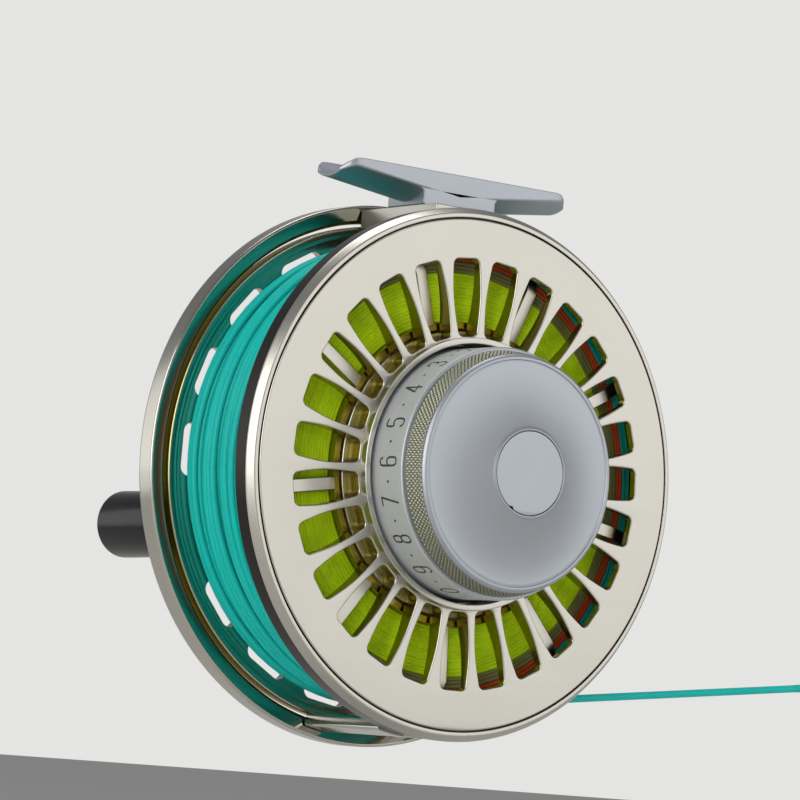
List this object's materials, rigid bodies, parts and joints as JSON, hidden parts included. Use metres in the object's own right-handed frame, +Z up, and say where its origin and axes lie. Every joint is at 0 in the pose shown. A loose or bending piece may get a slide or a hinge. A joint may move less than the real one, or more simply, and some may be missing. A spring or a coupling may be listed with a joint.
{
  "type": "fly reel",
  "caption": "Large-arbor fly reel with a full frame, a sealed disc drag set by a numbered knob, a ported spool wound with line, and a rod foot",
  "frame": {"origin": "axis of the rod barrel that the foot sits on, above the middle of the foot", "axes": "+X along the rod towards its tip, +Y along the spool's axle towards the winding handle, +Z up from the axle to the rod"},
  "size_m": [0.1921, 0.0901, 0.1259],
  "materials": {
    "champagne_anodised": "satin",
    "silver_anodised": "satin",
    "stainless_steel": "brushed",
    "seal_rubber": "matte",
    "bronze": "satin",
    "carbon_fibre": "matte",
    "backing_braid": "matte",
    "running_line_coating": "satin",
    "orange_line_coating": "satin",
    "turquoise_line_coating": "satin",
    "black_acetal": "gloss"
  },
  "bodies": {
    "frame": {"frame_plate": "champagne_anodised", "frame_ribs": "champagne_anodised", "frame_cup": "champagne_anodised", "frame_ring": "champagne_anodised", "frame_bridge": "champagne_anodised", "frame_pillars": "champagne_anodised", "reel_foot": "silver_anodised", "foot_screws": "stainless_steel", "drag_housing": "silver_anodised", "housing_screws": "stainless_steel", "housing_seal": "seal_rubber", "housing_cap": "silver_anodised", "shaft_seal": "seal_rubber", "spindle": "stainless_steel", "steel_plates": "stainless_steel", "click_gear": "silver_anodised", "spool_nut": "stainless_steel", "knob_screw": "stainless_steel", "detent_ring": "stainless_steel", "line_out": "turquoise_line_coating", "line_loop": "turquoise_line_coating"},
    "knob": {"knob_body": "silver_anodised", "knob_cap": "silver_anodised", "knob_seal": "seal_rubber", "detent_plungers": "stainless_steel", "detent_springs": "stainless_steel"},
    "nut": {"drag_nut": "bronze"},
    "pressure": {"thrust_washer": "stainless_steel", "push_pins": "stainless_steel", "pressure_plate": "stainless_steel", "spring_washers": "stainless_steel"},
    "rotor": {"drag_rotor": "silver_anodised", "carbon_discs": "carbon_fibre", "rotor_bushings": "bronze"},
    "spool": {"spool_drag_flange": "champagne_anodised", "spool_arbor": "champagne_anodised", "spool_handle_flange": "champagne_anodised", "spool_hub": "champagne_anodised", "spool_web": "champagne_anodised", "one_way_clutch": "stainless_steel", "spool_bearing": "stainless_steel", "spool_cap": "silver_anodised", "counterweight": "silver_anodised", "backing": "backing_braid", "running_line": "running_line_coating", "line_head": "orange_line_coating", "fly_line": "turquoise_line_coating", "handle_post": "stainless_steel", "handle_screw": "stainless_steel", "pawl_pin": "stainless_steel", "click_spring": "stainless_steel"},
    "pawl": {"click_pawl": "stainless_steel"},
    "handle": {"handle_knob": "black_acetal", "handle_bushings": "bronze"}
  },
  "joints": [
    {"name": "spool_spin", "type": "hinge", "parent": "frame", "child": "spool", "pos_m": [0, 0, -0.0704], "axis": [0, 1, 0], "continuous": true},
    {"name": "rotor_spin", "type": "hinge", "parent": "frame", "child": "rotor", "pos_m": [0, 0, -0.0704], "axis": [0, 1, 0], "continuous": true},
    {"name": "handle_spin", "type": "hinge", "parent": "spool", "child": "handle", "pos_m": [-0.04255, 0, -0.08505], "axis": [0, 1, 0], "continuous": true},
    {"name": "knob_turn", "type": "hinge", "parent": "frame", "child": "knob", "pos_m": [0, 0, -0.0704], "axis": [0, 1, 0], "range_deg": [-180, 162]},
    {"name": "nut_travel", "type": "slide", "parent": "knob", "child": "nut", "axis": [0, 1, 0], "range_m": [-0.00051, 0.00046]},
    {"name": "pressure_travel", "type": "slide", "parent": "frame", "child": "pressure", "axis": [0, 1, 0], "range_m": [-0.00051, 0.00046]},
    {"name": "pawl_rock", "type": "hinge", "parent": "spool", "child": "pawl", "pos_m": [0.00972, 0, -0.04693], "axis": [0, 1, 0], "range_deg": [-12, 12], "stiffness_Nm_per_rad": 0.002}
  ],
  "couplings": [
    {"joint": "rotor_spin", "follows": "spool_spin", "ratio": 1},
    {"joint": "nut_travel", "follows": "knob_turn", "m_per_rad": 0.00015915},
    {"joint": "pressure_travel", "follows": "knob_turn", "m_per_rad": 0.00015915}
  ]
}
